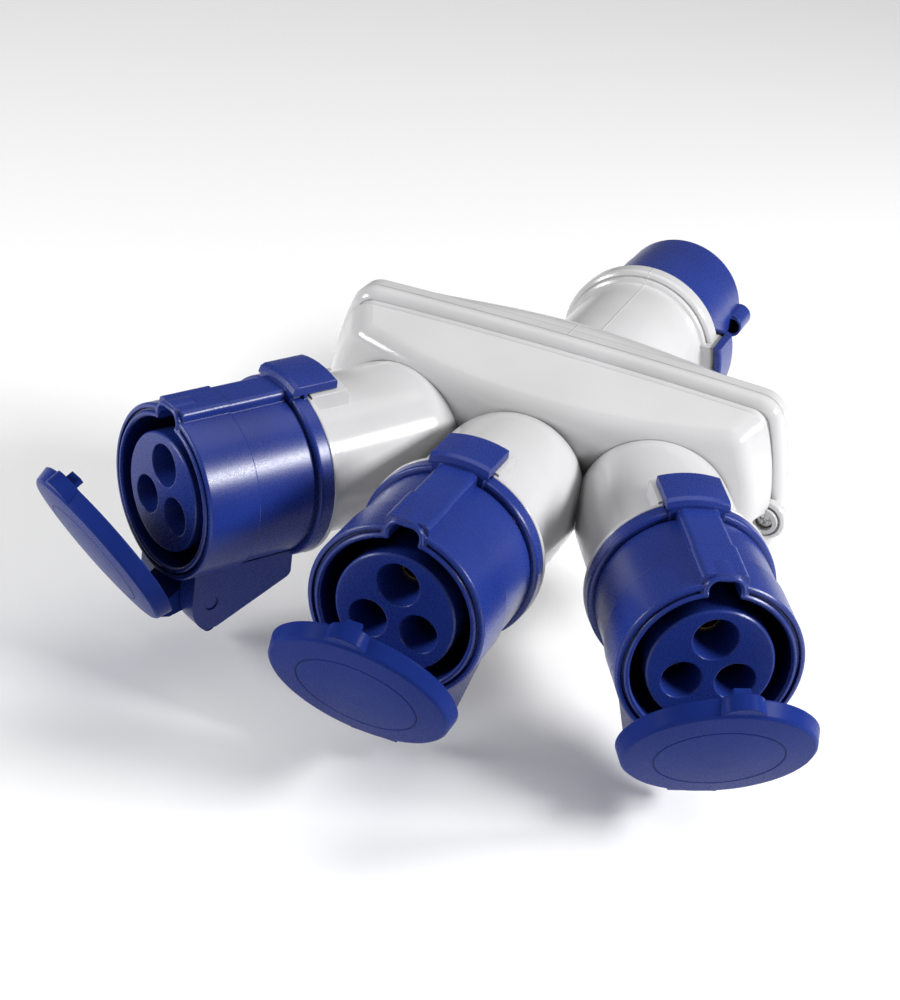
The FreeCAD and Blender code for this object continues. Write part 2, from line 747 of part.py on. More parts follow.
def lid():
    inner = -MOVE_GAP
    outer = inner - LID_THICKNESS
    lobe = rod(LOBE_R, outer + LOBE_SETBACK, inner, z=LOBE_TOP - LOBE_R)
    lobe = lobe.common(block(-FAR, FAR, -FAR, FAR, LID_SEAL_OUT_R + LID_ROOT, FAR))
    peg = block(
        -PEG_HALF_W,
        PEG_HALF_W,
        inner - BITE,
        inner + PEG_L,
        LID_SEAL_OUT_R + LID_ROOT / 2,
        KEYWAY_TOP - MOVE_GAP,
    )
    return opened(joined(lid_disc(), lobe, peg, lid_lug()))


def lid_seal():
    inner = -MOVE_GAP
    ring = rod(LID_SEAL_OUT_R, inner - LID_SEAL_W, inner - FACE_GAP)
    return opened(ring.cut(rod(LID_SEAL_IN_R, inner - LID_SEAL_W - BITE, inner + BITE)))


def hinge_pin():
    return cross_rod(HINGE_PIN_R, EAR_HALF_W - HINGE_PIN_SHORT, PIN_DEPTH, PIN_Z)


def lid_spring():
    """Torsion spring round the pin, its coils wound close against each other."""
    coils = int(2 * SPRING_HALF_W / SPRING_WIRE)
    pitch = 2 * SPRING_HALF_W / coils
    root = SPRING_R - SPRING_WIRE / 3
    points = [(-SPRING_HALF_W, SPRING_BORE_R)]
    for i in range(coils):
        left = -SPRING_HALF_W + i * pitch
        points.append((left, root))
        points.append((left + pitch / 2, SPRING_R))
    points.append((SPRING_HALF_W, root))
    points.append((SPRING_HALF_W, SPRING_BORE_R))
    section = wire(points[0], points[1:], lambda p: V(p[0], PIN_DEPTH, PIN_Z + p[1]))
    return Part.Face(section).revolve(V(0, PIN_DEPTH, PIN_Z), ACROSS, 360)


# ---------------------------------------------------------------- body shell
def end_x(z, half_width, top, end_bow):
    """Half width of the body at height z: the ends are arcs, widest at the axis height."""
    radius = (top * top + end_bow * end_bow) / (2 * end_bow)
    return half_width + end_bow - radius + math.sqrt(radius * radius - z * z)


def body_outline(y, half_width, top, bottom, arch, bow=TOP_BOW, end_bow=END_BOW):
    """Four bowed sides, with square corners that are rounded later."""
    low_w = end_x(bottom, half_width, top, end_bow)
    mid_z = (top + bottom) / 2
    mid_w = end_x(mid_z, half_width, top, end_bow)
    return wire(
        (-half_width, top),
        [
            ((0.0, top + bow), (half_width, top)),
            ((mid_w, mid_z), (low_w, bottom)),
            ((0.0, bottom + arch), (-low_w, bottom)),
            ((-mid_w, mid_z), (-half_width, top)),
        ],
        lambda p: V(p[0], y, p[1]),
    )


def full_outline(y, inset):
    return body_outline(y, BODY_HALF_W - inset, BODY_TOP - inset, BODY_BOTTOM + inset, ARCH)


def corner_edges(shape, above):
    """Edges that join the corners of two outlines, in the upper or the lower half."""
    edges = []
    for edge in shape.Edges:
        ends = [vertex.Point for vertex in edge.Vertexes]
        if len(ends) == 2 and abs(ends[0].y - ends[1].y) > 0.01:
            if (ends[0].z > 0) == above:
                edges.append(edge)
    return edges


def rounded(shape, top_r, bottom_r):
    shape = shape.makeFillet(top_r, corner_edges(shape, True))
    return shape.makeFillet(bottom_r, corner_edges(shape, False))


def band(y0, y1, inset):
    """Straight stretch of the body between two distances from the parting plane."""
    prism = Part.Face(full_outline(PARTING_Y + y0, inset)).extrude(V(0, y1 - y0, 0))
    return rounded(prism, TOP_CORNER_R - inset, BOTTOM_CORNER_R - inset)


def face_rim(shape, radius):
    """Edges round the face that is bowed to the given radius."""
    edges = []
    for face in shape.Faces:
        if isinstance(face.Surface, Part.Cylinder) and abs(face.Surface.Radius - radius) < 0.01:
            edges.extend(face.Edges)
    return edges


def dome(inset):
    """Front of the body: sloping sides up to a face that is bowed in plan."""
    start = PARTING_Y - DOME_START
    end = PARTING_Y - DOME_END - BITE
    near = full_outline(start, DOME_INSET + inset)
    far = body_outline(
        end,
        DOME_FACE_HALF_W - inset,
        DOME_FACE_TOP - inset,
        DOME_FACE_BOTTOM + inset,
        DOME_FACE_ARCH,
    )
    loft = Part.makeLoft([near, far], True, True)
    loft = rounded(loft, TOP_CORNER_R - inset, BOTTOM_CORNER_R - inset)
    bow_centre = PARTING_Y - DOME_END + DOME_FACE_R
    tube = Part.makeCylinder(DOME_FACE_R - inset, FAR, V(0, bow_centre, -FAR / 2), UP)
    return loft.common(tube)


def front_outer():
    """Bead against the parting plane, a groove in front of it, and the rounded dome."""
    bead = band(-BEAD_L, -PARTING_GAP, 0.0)
    rim_y = PARTING_Y - BEAD_L
    rim_edges = [e for e in bead.Edges if all(abs(v.Y - rim_y) < 0.01 for v in e.Vertexes)]
    bead = bead.makeFillet(BEAD_R, rim_edges)
    groove = band(-DOME_START - BITE, -BEAD_L + BITE, GROOVE_INSET)
    crown = dome(0.0)
    crown = crown.makeFillet(DOME_ROUND, face_rim(crown, DOME_FACE_R))
    return joined(bead, groove, crown)


def ear(side):
    """Round lobe in front of the bead, with a raised land round the screw's recess."""
    corner = EAR_ROUND * (1 - QUARTER)
    back = EAR_FACE - EAR_L
    lobe = turned(
        (-EAR_FACE, 0.0),
        [
            (-EAR_FACE, EAR_LAND_R),
            (-EAR_GROOVE, EAR_LAND_R + 0.2),
            (-EAR_GROOVE, EAR_R - EAR_ROUND),
            (-EAR_RIM, EAR_R - EAR_ROUND),
            (-EAR_RIM + corner, EAR_R - corner),
            (-EAR_RIM + EAR_ROUND, EAR_R),
            (-back, EAR_R),
            (-back, 0.0),
        ],
    )
    lobe.translate(V(side * EAR_X, PARTING_Y, EAR_Z))
    post = ear_hole(POST_R, -back - BITE, -PARTING_GAP, side)
    return joined(lobe, post.common(band(-back - BITE, -PARTING_GAP, POST_INSET)))


def gasket_shape(y0, y1, spread):
    """Flat gasket that follows the outline, with an eyelet round each screw."""
    outer = band(y0, y1, GASKET_INSET - spread)
    inner = band(y0 - BITE, y1 + BITE, GASKET_INSET + GASKET_BAND + spread)
    ring = outer.cut(inner)
    for side in (-1, 1):
        ring = ring.fuse(ear_hole(EYELET_R + spread, y0, y1, side))
        ring = ring.cut(ear_hole(SCREW_HOLE_R + SEAM_GAP - spread, y0 - BITE, y1 + BITE, side))
    return ring.removeSplitter()


def front_shell():
    cavity = joined(
        band(-RIM_RECESS, BITE, SHELL_WALL),
        band(-DOME_START - BITE, BITE, GROOVE_INSET + SHELL_WALL),
        dome(SHELL_WALL),
    )
    shape = front_outer().cut(cavity)
    recess_floor = COUNTERBORE_L - EAR_FACE
    for side in (-1, 1):
        shape = joined(shape, ear(side))
        hole = ear_hole(SCREW_HOLE_R, -FAR, BITE, side)
        recess = ear_hole(COUNTERBORE_R, -FAR, recess_floor, side)
        shape = cut(shape, hole, recess)
    shape = shape.cut(gasket_shape(-GASKET_H - PARTING_GAP, BITE, SEAM_GAP))
    for yaw in SIDES.values():
        shape = shape.cut(in_fan(elbow_envelope(SEAM_GAP), yaw))
    return shape


def ear_hole(radius, y0, y1, side):
    return rod(radius, PARTING_Y + y0, PARTING_Y + y1, side * EAR_X, EAR_Z)


def end_wire(prism, y):
    """Outline of a rounded prism's flat end at the given place."""
    for face in prism.Faces:
        box = face.BoundBox
        if abs(box.YMin - y) < 0.01 and abs(box.YMax - y) < 0.01:
            return face.OuterWire
    raise ValueError("the prism has no flat end there")


def neck_wire(y, radius):
    """Circle in eight arcs, one for each side and corner of the body outline."""
    right = [NECK_TOP_ANGLE, NECK_SIDE_ANGLE, -NECK_LOW_ANGLE, -NECK_BOTTOM_ANGLE]
    left = [180.0 - a for a in reversed(right)]
    corners = [left[-1]] + right + [a - 360.0 if a > 200.0 else a for a in left[:-1]]
    steps = []
    for i, a in enumerate(corners):
        b = corners[(i + 1) % len(corners)]
        if b > a:
            b -= 360.0
        steps.append((polar(radius, (a + b) / 2), polar(radius, b)))
    return wire(polar(radius, corners[0]), steps, lambda p: V(p[0], y, p[1]))


def rear_section(inset, at, ends, over, under, arch, bow, end_bow, corner):
    """Rounded outline of the rear half at one of its sections."""
    y = PARTING_Y + at
    half_width = round(BODY_HALF_W - ends, 3) - inset
    top = round(BODY_TOP - over, 3) - inset
    bottom = round(BODY_BOTTOM + under, 3) + inset
    outline = body_outline(y, half_width, top, bottom, arch, bow, end_bow)
    prism = Part.Face(outline).extrude(V(0, -BITE, 0))
    return end_wire(rounded(prism, corner - inset, corner - inset), y)


def rear_loft(inset, straight):
    """Body narrowing from the shell's outline to the round neck."""
    first = end_wire(band(0.0, REAR_BAND_L, REAR_STEP + inset), PARTING_Y + REAR_BAND_L)
    wires = [first]
    for section in REAR_SECTIONS:
        wires.append(rear_section(inset, **section))
    wires.append(neck_wire(PARTING_Y + NECK_START, NECK_R - inset))
    return Part.makeLoft(wires, True, straight)


def neck():
    """Round neck of the rear half, with a small step and a collar at its end."""
    collar_start = PLUG_FLANGE_Y - COLLAR_L
    step_start = collar_start - COLLAR_STEP_L
    start = PARTING_Y + NECK_START - BITE
    return turned(
        (start, 0.0),
        [
            (start, NECK_R),
            (step_start - 3 * EDGE, NECK_R),
            (step_start - EDGE, NECK_R + EDGE),
            (step_start, COLLAR_STEP_R),
            (collar_start - EDGE, COLLAR_STEP_R),
            (collar_start, COLLAR_STEP_R - EDGE),
            (collar_start, COLLAR_R - 3 * EDGE),
            (collar_start + EDGE, COLLAR_R - EDGE),
            (collar_start + 3 * EDGE, COLLAR_R),
            (PLUG_FLANGE_Y - EDGE, COLLAR_R),
            (PLUG_FLANGE_Y, COLLAR_R - EDGE),
            (PLUG_FLANGE_Y, 0.0),
        ],
    )


def plug_catch():
    """Hook on the neck that the plug shroud's tab clips over."""
    root = NECK_BORE_R + BITE
    catch = turned(
        (PLUG_CATCH_FRONT, root),
        [
            (PLUG_CATCH_FRONT, CATCH_R - 2 * EDGE),
            (PLUG_CATCH_FRONT + 2 * EDGE, CATCH_R),
            (PLUG_CATCH_BACK - 2 * EDGE, CATCH_R),
            (PLUG_CATCH_BACK, CATCH_R - 2 * EDGE),
            (PLUG_CATCH_BACK, BLUE_RING_R + MOVE_GAP),
            (PLUG_FLANGE_Y - EDGE, BLUE_RING_R + MOVE_GAP),
            (PLUG_FLANGE_Y - EDGE, root),
        ],
    )
    half = PLUG_CATCH_HALF_W
    return catch.common(block(0.0, FAR, -FAR, FAR, -half, half))


def rear_shell():
    """Rear half of the shell with the plug's neck, collar and catch."""
    outer = joined(band(0.0, REAR_BAND_L, 0.0), rear_loft(0.0, False), neck(), plug_catch())
    cavity = joined(band(-BITE, REAR_BAND_L, SHELL_WALL), rear_loft(SHELL_WALL, True))
    bore = rod(NECK_BORE_R, PARTING_Y + NECK_START - 2 * BITE, BITE)
    seal_seat = rod(SEAL_R + SEAM_GAP, PLUG_FLANGE_Y - SEAL_W, BITE)
    shape = cut(outer, cavity, bore, seal_seat)
    for side in (-1, 1):
        boss = ear_hole(EAR_BOSS_R, 0.0, REAR_BAND_L, side)
        boss = boss.common(band(0.0, REAR_BAND_L, REAR_STEP))
        shape = joined(shape, boss)
        shape = shape.cut(ear_hole(SCREW_R + SEAM_GAP, -BITE, SCREW_BITE + MOVE_GAP, side))
    return shape


def shell_gasket():
    return gasket_shape(-GASKET_H - PARTING_GAP + FACE_GAP, -FACE_GAP, 0.0)


def shell_screws():
    """Two cross-headed screws that hold the halves of the shell together."""
    screws = []
    seat = COUNTERBORE_L - EAR_FACE - FACE_GAP
    top = seat - SCREW_HEAD_H
    for side in (-1, 1):
        head = ear_hole(SCREW_HEAD_R, top, seat, side)
        shank = ear_hole(SCREW_R, top, SCREW_BITE, side)
        screw = joined(head, shank)
        x, y = side * EAR_X, PARTING_Y + top
        for width, height in ((SLOT_L, SLOT_W), (SLOT_W, SLOT_L)):
            x0, x1 = x - width / 2, x + width / 2
            z0, z1 = EAR_Z - height / 2, EAR_Z + height / 2
            screw = screw.cut(block(x0, x1, y - BITE, y + SLOT_DEPTH, z0, z1))
        screws.append(screw)
    return Part.makeCompound(screws)


# ---------------------------------------------------------------- plug
def plug_shroud():
    """Blue shroud with its base ring, key lug and latch tab."""
    insert_seat_r = PLUG_INSERT_R + SEAM_GAP
    ring_back = PLUG_FLANGE_Y + FACE_GAP
    ring_front = ring_back + BLUE_RING_L
    tail_r = NECK_BORE_R - SEAM_GAP
    shape = turned(
        (0.0, SHROUD_BORE_R),
        [
            (0.0, SHROUD_R - EDGE),
            (-EDGE, SHROUD_R),
            (SHROUD_STEP_Y, SHROUD_R),
            (SHROUD_STEP_Y, SHROUD_BASE_R),
            (ring_front, SHROUD_BASE_R),
            (ring_front, BLUE_RING_R - EDGE),
            (ring_front - EDGE, BLUE_RING_R),
            (ring_back, BLUE_RING_R),
            (ring_back, tail_r),
            (SHROUD_TAIL_Y, tail_r),
            (SHROUD_TAIL_Y, insert_seat_r),
            (CAVITY_Y, insert_seat_r),
            (CAVITY_Y, SHROUD_BORE_R),
        ],
    )
    lug = rod(KEY_R, -KEY_L, -EDGE, x=KEY_CENTRE)
    corner = TAB_ROUND * (1 - QUARTER)
    tab = turned(
        (PLUG_TAB_START, PLUG_TAB_UNDER_R),
        [
            (PLUG_TAB_START, PLUG_TAB_R - EDGE),
            (PLUG_TAB_START + EDGE, PLUG_TAB_R),
            (PLUG_TAB_END - TAB_ROUND, PLUG_TAB_R),
            (PLUG_TAB_END - corner, PLUG_TAB_R - corner),
            (PLUG_TAB_END, PLUG_TAB_R - TAB_ROUND),
            (PLUG_TAB_END, SHROUD_BASE_R - BITE),
            (PLUG_CATCH_BACK + MOVE_GAP, SHROUD_BASE_R - BITE),
            (PLUG_CATCH_BACK + MOVE_GAP, PLUG_TAB_UNDER_R),
        ],
    )
    tab = tab.common(block(0.0, FAR, -FAR, FAR, -TAB_HALF_W, TAB_HALF_W))
    shape = joined(shape, lug, tab)
    bore = rod(SHROUD_BORE_R, CAVITY_Y, BITE)
    # the lug is hollow from its back end
    lug_bore = rod(KEY_BORE_R, -KEY_L - BITE, -KEY_L + KEY_BORE_L, x=KEY_CENTRE + EDGE)
    lug_bore = lug_bore.cut(rod(SHROUD_R, -FAR, FAR))
    return cut(shape, bore, lug_bore)


def plug_insert():
    """Disc that carries the plug's pins."""
    front = CAVITY_Y - FACE_GAP
    shape = rod(PLUG_INSERT_R, front - PLUG_INSERT_L, front)
    for _, pin_r, x, z in PLUG_CONTACTS:
        shape = shape.cut(rod(pin_r - PIN_ROOT_STEP + SEAM_GAP, -FAR, FAR, x, z))
    return shape


def plug_pin(place):
    """One round pin: domed tip, shoulder on the insert, thinner root and swaged collar."""
    name, pin_r, x, z = place
    tip = -(EARTH_TIP_SETBACK if name == "earth" else PIN_TIP_SETBACK)
    back = CAVITY_Y - FACE_GAP - PLUG_INSERT_L - FACE_GAP
    tail = back - PIN_TAIL_L
    root_r = pin_r - PIN_ROOT_STEP
    corner = PIN_ROUND * (1 - QUARTER)
    pin = turned(
        (tail, 0.0),
        [
            (tail, root_r),
            (back - PIN_COLLAR_L, root_r),
            (back - PIN_COLLAR_L, root_r + PIN_COLLAR_STEP),
            (back, root_r + PIN_COLLAR_STEP),
            (back, root_r),
            (CAVITY_Y, root_r),
            (CAVITY_Y, pin_r),
            (tip - PIN_ROUND, pin_r),
            (tip - corner, pin_r - corner),
            (tip, pin_r - PIN_ROUND),
            (tip, 0.0),
        ],
    )
    pin.translate(V(x, 0, z))
    return pin.cut(rod(LEAD_R + SEAM_GAP, tail - BITE, tail + PIN_LEAD_BITE, x, z))


def plug_seal():
    y0 = PLUG_FLANGE_Y - SEAL_W + FACE_GAP
    return rod(SEAL_R, y0, PLUG_FLANGE_Y).cut(rod(NECK_BORE_R, y0 - BITE, 0.0))


# ---------------------------------------------------------------- conductors
def lead(points):
    """Insulated lead through the given points, round at its turns."""
    pieces = []
    for start, end in zip(points, points[1:]):
        run = end - start
        pieces.append(Part.makeCylinder(LEAD_R, run.Length, start, run))
    for point in points[1:-1]:
        pieces.append(Part.makeSphere(LEAD_R, point))
    return joined(*pieces)


def conductor(contact, bar, lane):
    """Bar across the body with a lead to each socket's sleeve and one to the plug's pin."""
    bar_y = PARTING_Y + bar[0]
    bar_z = bar[1]
    shape = block(
        -BAR_HALF_L, BAR_HALF_L, bar_y, bar_y + BAR_T, bar_z - BAR_H / 2, bar_z + BAR_H / 2
    )
    name, _, x, z = contact
    sleeve_end = SLEEVE_START + SLEEVE_L
    local = [
        V(x, sleeve_end - LEAD_BITE + EDGE, z),
        V(x, sleeve_end + LEAD_STRAIGHT, z),
        V(lane * LEAD_SPACING, ELBOW_END_DEPTH + ELBOW_R + BITE, PORT_Z),
    ]
    for yaw in SIDES.values():
        points = [in_fan(Part.Vertex(p), yaw).Point for p in local]
        points.append(V(points[-1].x, bar_y + BAR_T / 2, bar_z))
        shape = joined(shape, lead(points))
    plug = [place for place in PLUG_CONTACTS if place[0] == name][0]
    pin_tail = CAVITY_Y - 2 * FACE_GAP - PLUG_INSERT_L - PIN_TAIL_L
    px, pz = plug[2], plug[3]
    run = [
        V(px, bar_y + BAR_T / 2, bar_z),
        V(px, pin_tail - 2 * LEAD_STRAIGHT, pz),
        V(px, pin_tail + PIN_LEAD_BITE - EDGE, pz),
    ]
    return joined(shape, lead(run))


# ---------------------------------------------------------------- assembly
def build():
    nodes = {
        "front_shell": front_shell(),
        "rear_shell": rear_shell(),
        "shell_gasket": shell_gasket(),
        "shell_screws": shell_screws(),
        "plug_shroud": plug_shroud(),
        "plug_insert": plug_insert(),
        "plug_seal": plug_seal(),
        "plug_earth_pin": plug_pin(PLUG_CONTACTS[0]),
        "plug_line_pin": plug_pin(PLUG_CONTACTS[1]),
        "plug_neutral_pin": plug_pin(PLUG_CONTACTS[2]),
        "earth_conductor": conductor(SOCKET_CONTACTS[0], EARTH_BAR, 0),
        "line_conductor": conductor(SOCKET_CONTACTS[1], LINE_BAR, -1),
        "neutral_conductor": conductor(SOCKET_CONTACTS[2], NEUTRAL_BAR, +1),
    }
    socket_pieces = {
        "socket_housing": socket_housing(),
        "socket_insert": socket_insert(),
        "contact_sleeves": contact_sleeves(),
        "socket_gasket": socket_gasket(),
        "lid": lid(),
        "lid_seal": lid_seal(),
        "hinge_pin": hinge_pin(),
        "lid_spring": lid_spring(),
    }
    for side, yaw in SIDES.items():
        nodes[side + "_elbow"] = elbow(yaw)
        for name, shape in socket_pieces.items():
            nodes[side + "_" + name] = in_fan(shape, yaw)
    return nodes


os.makedirs("parts", exist_ok=True)
for node, shape in build().items():
    shape.exportStep("parts/" + node + ".step")
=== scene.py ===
import json
import math

import bmesh
import bpy
from mathutils import Matrix, Vector


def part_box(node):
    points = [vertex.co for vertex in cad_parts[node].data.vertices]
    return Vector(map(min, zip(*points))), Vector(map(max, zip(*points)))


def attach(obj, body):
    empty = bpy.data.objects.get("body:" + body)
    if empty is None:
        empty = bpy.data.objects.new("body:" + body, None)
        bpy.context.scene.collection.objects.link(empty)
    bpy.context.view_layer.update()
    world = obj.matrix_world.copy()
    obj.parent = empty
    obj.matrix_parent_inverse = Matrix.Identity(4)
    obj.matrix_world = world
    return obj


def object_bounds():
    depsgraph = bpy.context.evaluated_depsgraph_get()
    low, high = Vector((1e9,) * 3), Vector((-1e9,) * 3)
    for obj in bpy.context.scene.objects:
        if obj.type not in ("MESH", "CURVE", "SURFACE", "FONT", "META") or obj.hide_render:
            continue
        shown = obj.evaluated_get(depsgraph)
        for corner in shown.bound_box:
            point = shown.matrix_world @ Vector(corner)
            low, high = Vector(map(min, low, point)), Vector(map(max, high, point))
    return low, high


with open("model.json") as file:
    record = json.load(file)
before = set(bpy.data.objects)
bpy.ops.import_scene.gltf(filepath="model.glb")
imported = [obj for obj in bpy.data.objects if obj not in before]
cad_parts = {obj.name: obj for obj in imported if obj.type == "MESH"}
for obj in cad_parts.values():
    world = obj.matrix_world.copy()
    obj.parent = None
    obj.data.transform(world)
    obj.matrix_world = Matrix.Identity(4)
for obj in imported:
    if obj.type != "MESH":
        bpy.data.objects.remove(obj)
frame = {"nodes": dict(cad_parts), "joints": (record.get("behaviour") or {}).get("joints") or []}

CAD_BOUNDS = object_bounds()

# Looks of a three-way adaptor for industrial connectors: one plug and three lidded sockets.
#
# The row frame is in metres: origin at the centre of the plug shroud's mouth, +Y out of the
# mouth, +Z up. Pieces are drawn in millimetres. A socket has its own frame, with x across,
# y = depth behind the rim plane and z up, which its lid's joint places in the row frame.

MM = 0.001
LID_JOINTS = {joint["child"].removesuffix("_lid"): joint for joint in frame["joints"]}

# ---------------------------------------------------------------- camera
CAMERA_AT = (0.19904, -0.78666, 0.35275)
CAMERA_TURN = (63.684, -7.198, 21.888)  # degrees about x, y and z
CAMERA_LENS = 89.77
CAMERA_SENSOR = 36.0
CAMERA_SHIFT = (-0.0508, -0.116)
CAMERA_SIGHT = 20.0  # metres

# ---------------------------------------------------------------- studio
# each soft light: place, the point it faces, (width, height) in metres, and power in watts
SOFT_LIGHTS = {
    "right_box": ((0.75, -0.12, 0.47), (-0.03, -0.18, 0.01), (0.42, 0.13), 10.0),
    "left_box": ((-0.75, -0.65, 0.30), (0.0, -0.2, 0.0), (0.3, 0.25), 6.0),
    "overhead": ((0.0, 0.15, 1.3), (0.0, -0.15, 0.0), (1.3, 0.9), 5.2),
}
WORLD_LIGHT = 0.17
FLOOR_HALF = 3.0
FLOOR_DROP = 0.0065  # room under the part for the lids when they are wide open
FLOOR_COLOUR = (0.88, 0.88, 0.88, 1.0)
FLOOR_ROUGH = 0.8
FLOOR_SPECULAR = 0.2
FLOOR_GLOW = 0.12
WHITE = (1.0, 1.0, 1.0, 1.0)

# ---------------------------------------------------------------- plastics
# dark, light: ends of the slow drift in colour, linear
# rough, specular: range of the roughness, and the shader's specular level
# edge: radius in metres of the edges' softening
# grain, grain_depth: cycles per metre, and height in metres
# hollow_reach, hollow_shade: painted shade in hollows: how near in metres a wall darkens a spot,
# and the share of the colour that is left in the deepest hollows
BLUE = {
    "dark": (0.010, 0.026, 0.185),
    "light": (0.014, 0.034, 0.225),
    "rough": (0.22, 0.36),
    "specular": 0.42,
    "edge": 0.0006,
    "grain": 2600.0,
    "grain_depth": 0.00004,
    "hollow_reach": 0.008,
    "hollow_shade": 0.12,
}
# the lids' blue: a darker copy of BLUE, whose darker colour is painted shade on the lids; it has
# less specular and its own painted shade in hollows
SHADED_LID_BLUE = {
    **BLUE,
    "dark": (0.0075, 0.020, 0.142),
    "light": (0.010, 0.025, 0.170),
    "specular": 0.025,
    "hollow_reach": 0.006,
    "hollow_shade": 0.2,
}
# near-black blue for the fine line laid in each lid's ring groove, as painted shade in the groove
GROOVE_SHADE_BLUE = {
    "dark": (0.002, 0.004, 0.03),
    "light": (0.003, 0.006, 0.04),
    "rough": (0.5, 0.6),
    "specular": 0.1,
    "edge": 0.0001,
    "grain": 2600.0,
    "grain_depth": 0.00001,
    "hollow_reach": 0.002,
    "hollow_shade": 0.5,
}
GREY = {
    "dark": (0.52, 0.515, 0.52),
    "light": (0.565, 0.56, 0.57),
    "rough": (0.12, 0.18),
    "specular": 0.4,
    "edge": 0.0005,
    "grain": 900.0,
    "grain_depth": 0.00001,
    "hollow_reach": 0.005,
    "hollow_shade": 0.35,
}
NOISE_MIDDLE = (0.3, 0.7)
PLASTIC_IOR = 1.5
DRIFT_SCALE = 35.0  # cycles per metre
GRAIN_STRENGTH = 0.35
HOLLOW_DEEP = 0.1  # share of open space round a spot that is fully shaded
HOLLOW_OPEN = 0.62  # share from which a spot isn't shaded
SEAM_HALF_W = 0.0004
SEAM_HEIGHT = 0.00012

# ---------------------------------------------------------------- metals and rubber
BRASS = {
    "dark": (0.62, 0.42, 0.16),
    "light": (0.78, 0.56, 0.25),
    "rough": (0.18, 0.32),
    "grain": 900.0,
}
COPPER = {
    "dark": (0.70, 0.32, 0.20),
    "light": (0.85, 0.45, 0.30),
    "rough": (0.22, 0.36),
    "grain": 900.0,
}
ZINC = {
    "dark": (0.55, 0.55, 0.54),
    "light": (0.72, 0.72, 0.70),
    "rough": (0.2, 0.38),
    "grain": 1200.0,
}
METAL_GRAIN_STRENGTH = 0.2
METAL_GRAIN_DEPTH = 0.00002
RUBBER_DARK = (0.012, 0.012, 0.013)
RUBBER_LIGHT = (0.025, 0.025, 0.027)
RUBBER_ROUGH = 0.6
RUBBER_GRAIN = 1500.0
RUBBER_GRAIN_STRENGTH = 0.4
RUBBER_GRAIN_DEPTH = 0.00003
SMALL_EDGE = 0.00035

# ---------------------------------------------------------------- sizes of the CAD part, in mm
BODY_HALF_W = 68.1
BODY_TOP = 34.7
BODY_BOTTOM = -20.0
TOP_BOW = 1.2
END_BOW = 7.1
ARCH = 9.0
TOP_CORNER_R = 8.6
BOTTOM_CORNER_R = 10.0
BEAD_FLAT = 0.2  # straight part of the bead beside the parting line
BEAD_R = 4.4
BORE_R = 22.1
HOUSING_R = 26.0
LIP_MIDDLE_R = BORE_R + 0.8
KEYWAY_HALF_W = 4.4
KEYWAY_TOP = 26.6
PIN_DEPTH = 10.8  # the hinge pin's place in the socket's own frame
PIN_Z = -HOUSING_R - 6.0
LID_FACE = -5.35  # depth of the closed lid's outer face at its edge
LID_EDGE_R = HOUSING_R
LID_CROWN = 1.5
LID_MARK_R = 17.4
LID_MARK_DEPTH = 0.35

# ---------------------------------------------------------------- sizes of the added pieces, in mm
BEAD_WALL = 0.5
BEAD_TURN = 80.0  # degrees of the bead's round, from the outline towards the groove
BEAD_LIFT = 0.02  # how far the bead's skin stands off the CAD's bead beside the groove
GROOVE_SHADE_LINE_R = 0.14
KEYWAY_CORNER_R = 2.8
KEYWAY_CORNER_FRONT = 0.6  # depth at which the rounded corners start
KEYWAY_L = 30.0
SINK = 0.05  # how far the hidden sides of a rounded corner lie inside the moulding
RIDGE_R = 0.8
RIDGE_SETBACK = 0.02  # how far the ridge stays behind the rim plane
RIDGE_ROOT = 0.6  # how far the ridge's feet reach into the lip

# ---------------------------------------------------------------- steps of round shapes
LONG_STEPS = 40
END_STEPS = 24
CORNER_STEPS = 16
BEAD_STEPS = 12
SMALL_STEPS = 8
GROOVE_SHADE_STEPS = 72


# ---------------------------------------------------------------- finishes
def node_material(name):
    """A new node material with its tree and its main shader."""
    material = bpy.data.materials.new(name)
    material.use_nodes = True
    tree = material.node_tree
    return material, tree, tree.nodes["Principled BSDF"]


def add_node(tree, kind, **values):
    """A node whose sockets take the given values by name; the socket names use _ for spaces."""
    node = tree.nodes.new(kind)
    for key, value in values.items():
        node.inputs[key.replace("_", " ")].default_value = value
    return node


def object_noise(tree, scale, detail):
    """Noise that is fixed to the object, at so many cycles per metre."""
    coordinates = tree.nodes.new("ShaderNodeTexCoord")
    noise = add_node(tree, "ShaderNodeTexNoise", Scale=scale, Detail=detail)
    tree.links.new(coordinates.outputs["Object"], noise.inputs["Vector"])
    return noise.outputs["Fac"]


def remapped(tree, source, start, end, low, high):
    """Maps a value's range from start to end onto low to high, and returns the node."""
    ramp = add_node(tree, "ShaderNodeMapRange", From_Min=start, From_Max=end,
                    To_Min=low, To_Max=high)
    tree.links.new(source, ramp.inputs["Value"])
    return ramp


def spread(tree, noise, low, high):
    """Maps the middle range, which holds most of a noise, onto low to high."""
    return remapped(tree, noise, *NOISE_MIDDLE, low, high).outputs["Result"]


def tint(tree, shader, factor, dark, light):
    """Colour that drifts between two values."""
    mix = tree.nodes.new("ShaderNodeMix")
    mix.data_type = "RGBA"
    mix.inputs["A"].default_value = (*dark, 1.0)
    mix.inputs["B"].default_value = (*light, 1.0)
    tree.links.new(factor, mix.inputs["Factor"])
    tree.links.new(mix.outputs["Result"], shader.inputs["Base Color"])


def relief(tree, shader, height, strength, distance, edge):
    """Bump over softly rounded edges."""
    bevel = add_node(tree, "ShaderNodeBevel", Radius=edge)
    bevel.samples = 6
    bump = add_node(tree, "ShaderNodeBump", Strength=strength, Distance=distance)
    tree.links.new(height, bump.inputs["Height"])
    tree.links.new(bevel.outputs["Normal"], bump.inputs["Normal"])
    tree.links.new(bump.outputs["Normal"], shader.inputs["Normal"])
    return bump


